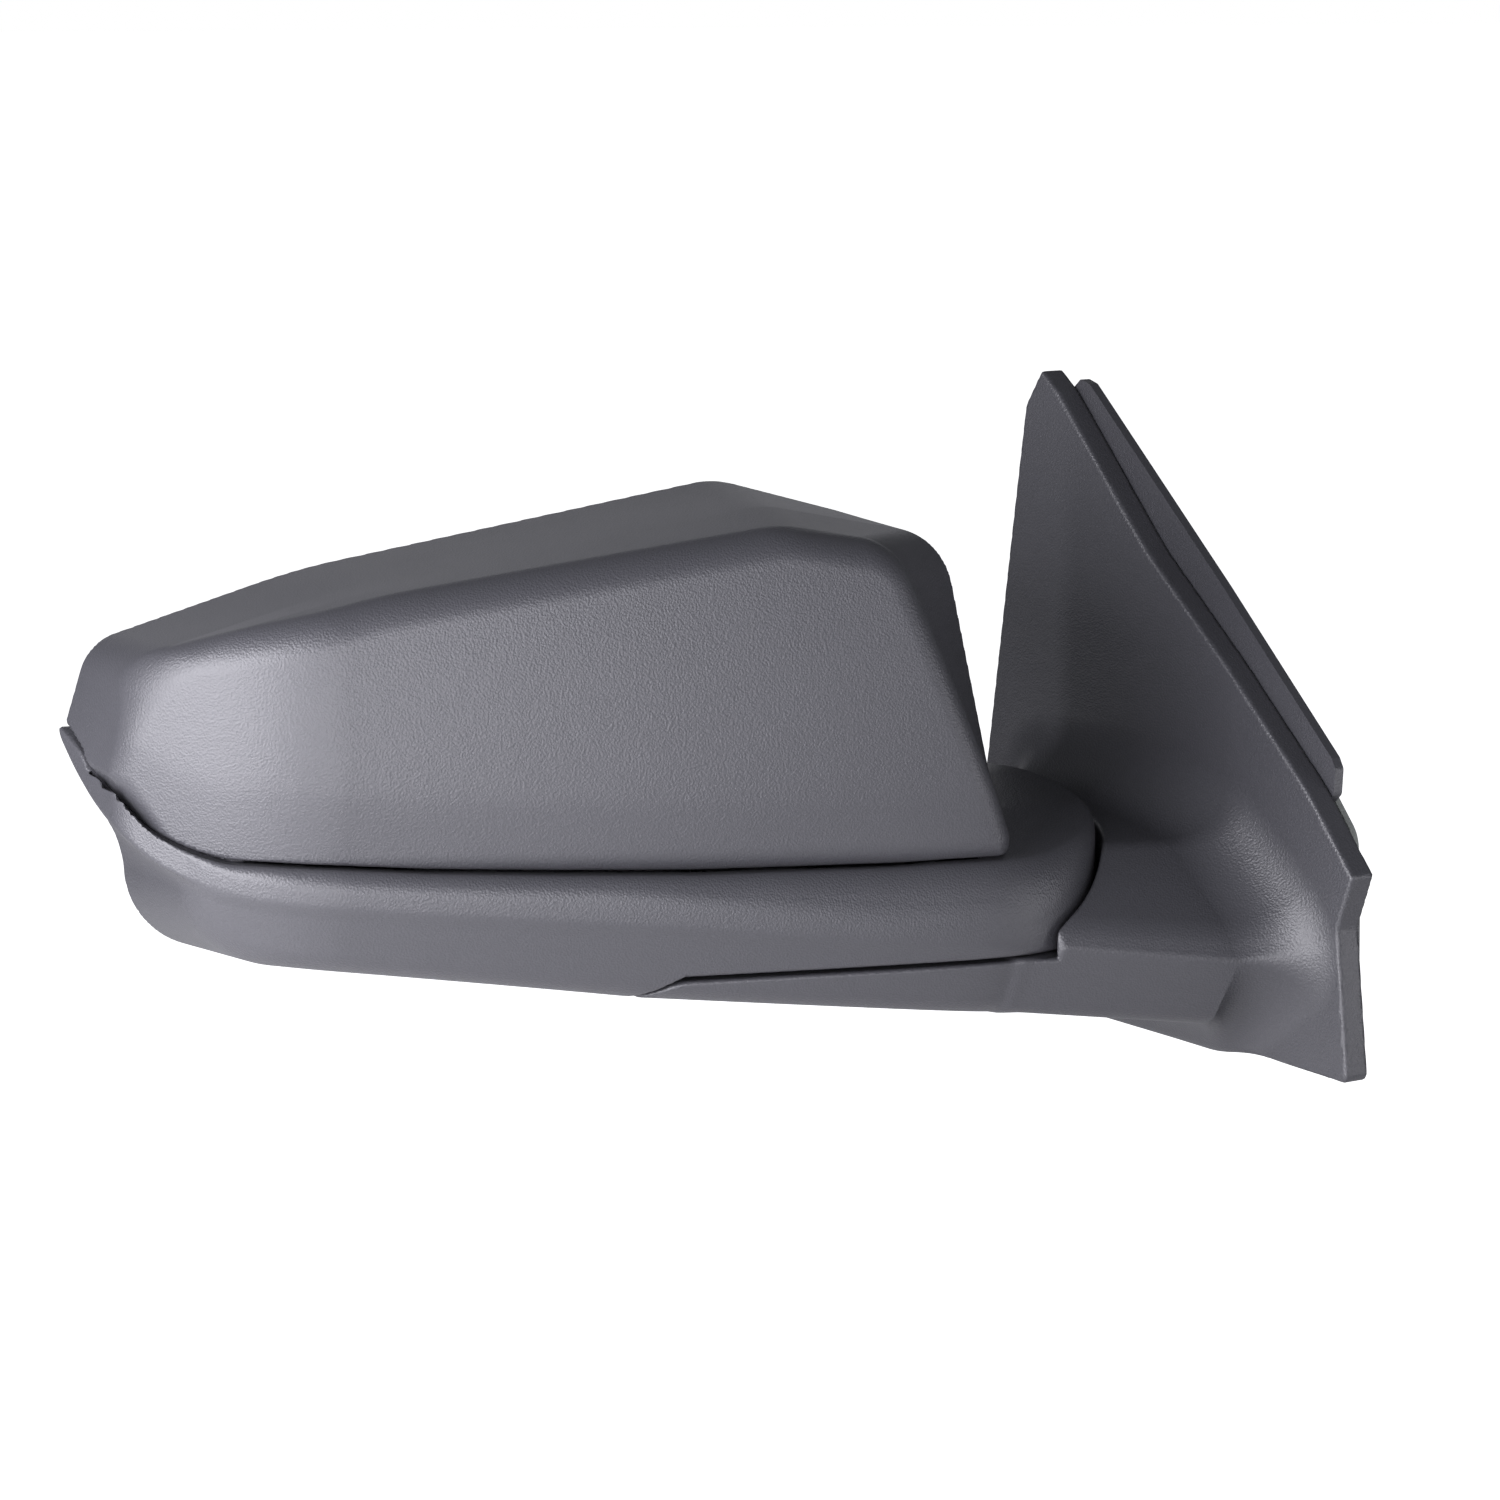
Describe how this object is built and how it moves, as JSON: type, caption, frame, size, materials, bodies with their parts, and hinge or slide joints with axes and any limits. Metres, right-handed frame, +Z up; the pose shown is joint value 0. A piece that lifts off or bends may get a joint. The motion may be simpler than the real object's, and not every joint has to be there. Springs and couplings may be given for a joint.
{
  "type": "car side mirror",
  "caption": "Right-hand door mirror: round-ended folding head with cap and creased lower housing on a foot and triangular sail, with a power-adjusted convex glass.",
  "frame": {"origin": "centre of the circle of mounting studs, on the door-side mounting face", "axes": "+X into the door, +Y to the rear of the car, +Z up; the mirror reaches out along -X"},
  "size_m": [0.3346, 0.1795, 0.1838],
  "materials": {
    "grained_plastic": "fine leather grain, satin black",
    "smooth_plastic": "fine spark texture, black",
    "foam": "grey closed-cell foam",
    "cast_alloy": "as cast",
    "zinc_steel": "zinc plated",
    "rubber": "matt",
    "white_nylon": "natural nylon",
    "steel": "turned",
    "sintered_steel": "sintered, oiled",
    "spring_steel": "oil-tempered wire",
    "glass_filled_nylon": "matt",
    "adjuster_plastic": "satin",
    "motor_can": "plated can",
    "brass": "machined",
    "acetal": "natural acetal",
    "heater_film": "printed film",
    "mirror_glass": "first-surface chrome mirror"
  },
  "bodies": {
    "root": {"base_bracket": "cast_alloy", "sail_plate": "grained_plastic", "mounting_studs": "zinc_steel", "base_cover": "grained_plastic", "base_gasket": "foam", "harness_grommet": "rubber", "cover_screws": "zinc_steel", "sail_clip": "white_nylon", "pivot_post": "steel", "detent_ring_lower": "sintered_steel", "retaining_nut": "zinc_steel"},
    "head": {"mirror_cap": "grained_plastic", "lower_housing": "grained_plastic", "bezel": "smooth_plastic", "bezel_screws": "zinc_steel", "head_frame": "glass_filled_nylon", "detent_ring_upper": "sintered_steel", "lower_washer": "steel", "pivot_spring": "spring_steel", "upper_washer": "steel", "adjuster_case_rear": "adjuster_plastic", "adjuster_case_front": "adjuster_plastic", "adjuster_screws": "zinc_steel", "motor_tilt": "motor_can", "motor_pan": "motor_can", "worm_tilt": "brass", "worm_pan": "brass", "drive_nut_tilt": "acetal", "drive_nut_pan": "acetal"},
    "gimbal": {"gimbal_ring": "acetal"},
    "glass": {"glass_carrier": "smooth_plastic", "heater_pad": "heater_film", "mirror_glass": "mirror_glass"},
    "plunger_tilt_body": {"plunger_tilt": "acetal"},
    "plunger_pan_body": {"plunger_pan": "acetal"}
  },
  "joints": [
    {"name": "head_fold", "type": "hinge", "parent": "root", "child": "head", "pos_m": [-0.09, 0, 0], "axis": [0, 0, 1], "range_deg": [-56, 24]},
    {"name": "glass_tilt", "type": "hinge", "parent": "head", "child": "gimbal", "pos_m": [-0.18379, 0.04395, 0.038], "axis": [-0.9848, 0.1736, 0], "range_deg": [-6, 6]},
    {"name": "glass_pan", "type": "hinge", "parent": "gimbal", "child": "glass", "pos_m": [-0.18379, 0.04395, 0.038], "axis": [0, 0, 1], "range_deg": [-6, 6]},
    {"name": "plunger_tilt_slide", "type": "slide", "parent": "head", "child": "plunger_tilt_body", "axis": [-0.1736, -0.9848, 0], "range_m": [-0.0027, 0.0027]},
    {"name": "plunger_pan_slide", "type": "slide", "parent": "head", "child": "plunger_pan_body", "axis": [-0.1736, -0.9848, 0], "range_m": [-0.0027, 0.0027]}
  ],
  "couplings": [
    {"joint": "plunger_tilt_slide", "follows": "glass_tilt", "m_per_rad": 0.024},
    {"joint": "plunger_pan_slide", "follows": "glass_pan", "m_per_rad": -0.024}
  ]
}
